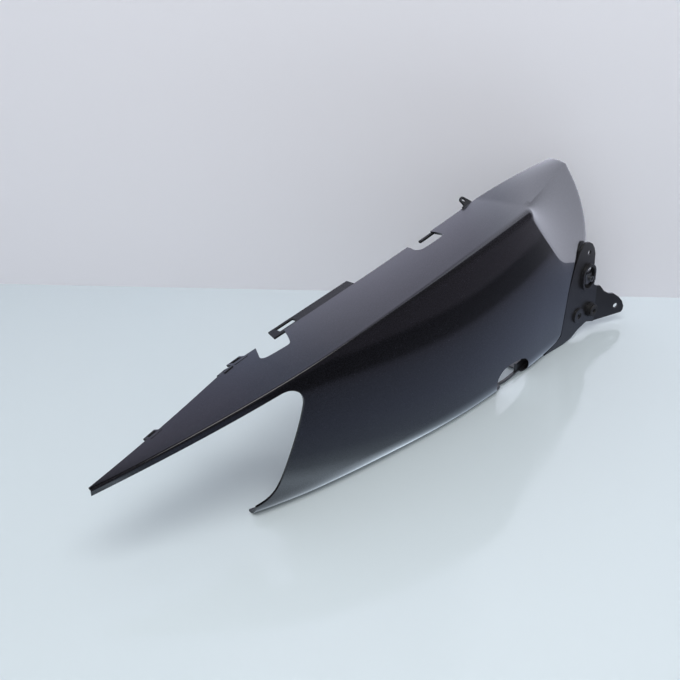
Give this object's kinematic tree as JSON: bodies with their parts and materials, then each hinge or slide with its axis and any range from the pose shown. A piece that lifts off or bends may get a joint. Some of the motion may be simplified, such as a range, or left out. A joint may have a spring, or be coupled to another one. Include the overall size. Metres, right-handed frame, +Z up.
{
  "type": "scooter rear side panel",
  "caption": "Left rear body panel of a scooter: a thin folded shell with a long forward arm, a rounded cut-out, a rear facet, edge notches and a drilled rear bracket.",
  "frame": {"origin": "centre of the bounding box in plan, at the height of the plane the panel stands on", "axes": "+X from the arm tip to the tail (rearward on the scooter), +Y inboard, +Z up; the painted outer face looks to -Y"},
  "size_m": [0.7506, 0.1348, 0.2251],
  "materials": {
    "panel_paint": "gloss dark grey metallic paint with clear coat",
    "spring_steel": "dark zinc",
    "nut_rubber": "matt black rubber"
  },
  "bodies": {
    "root": {"side_panel": "panel_paint", "clip_nut": "spring_steel", "grommet_nut": "nut_rubber"}
  },
  "joints": []
}
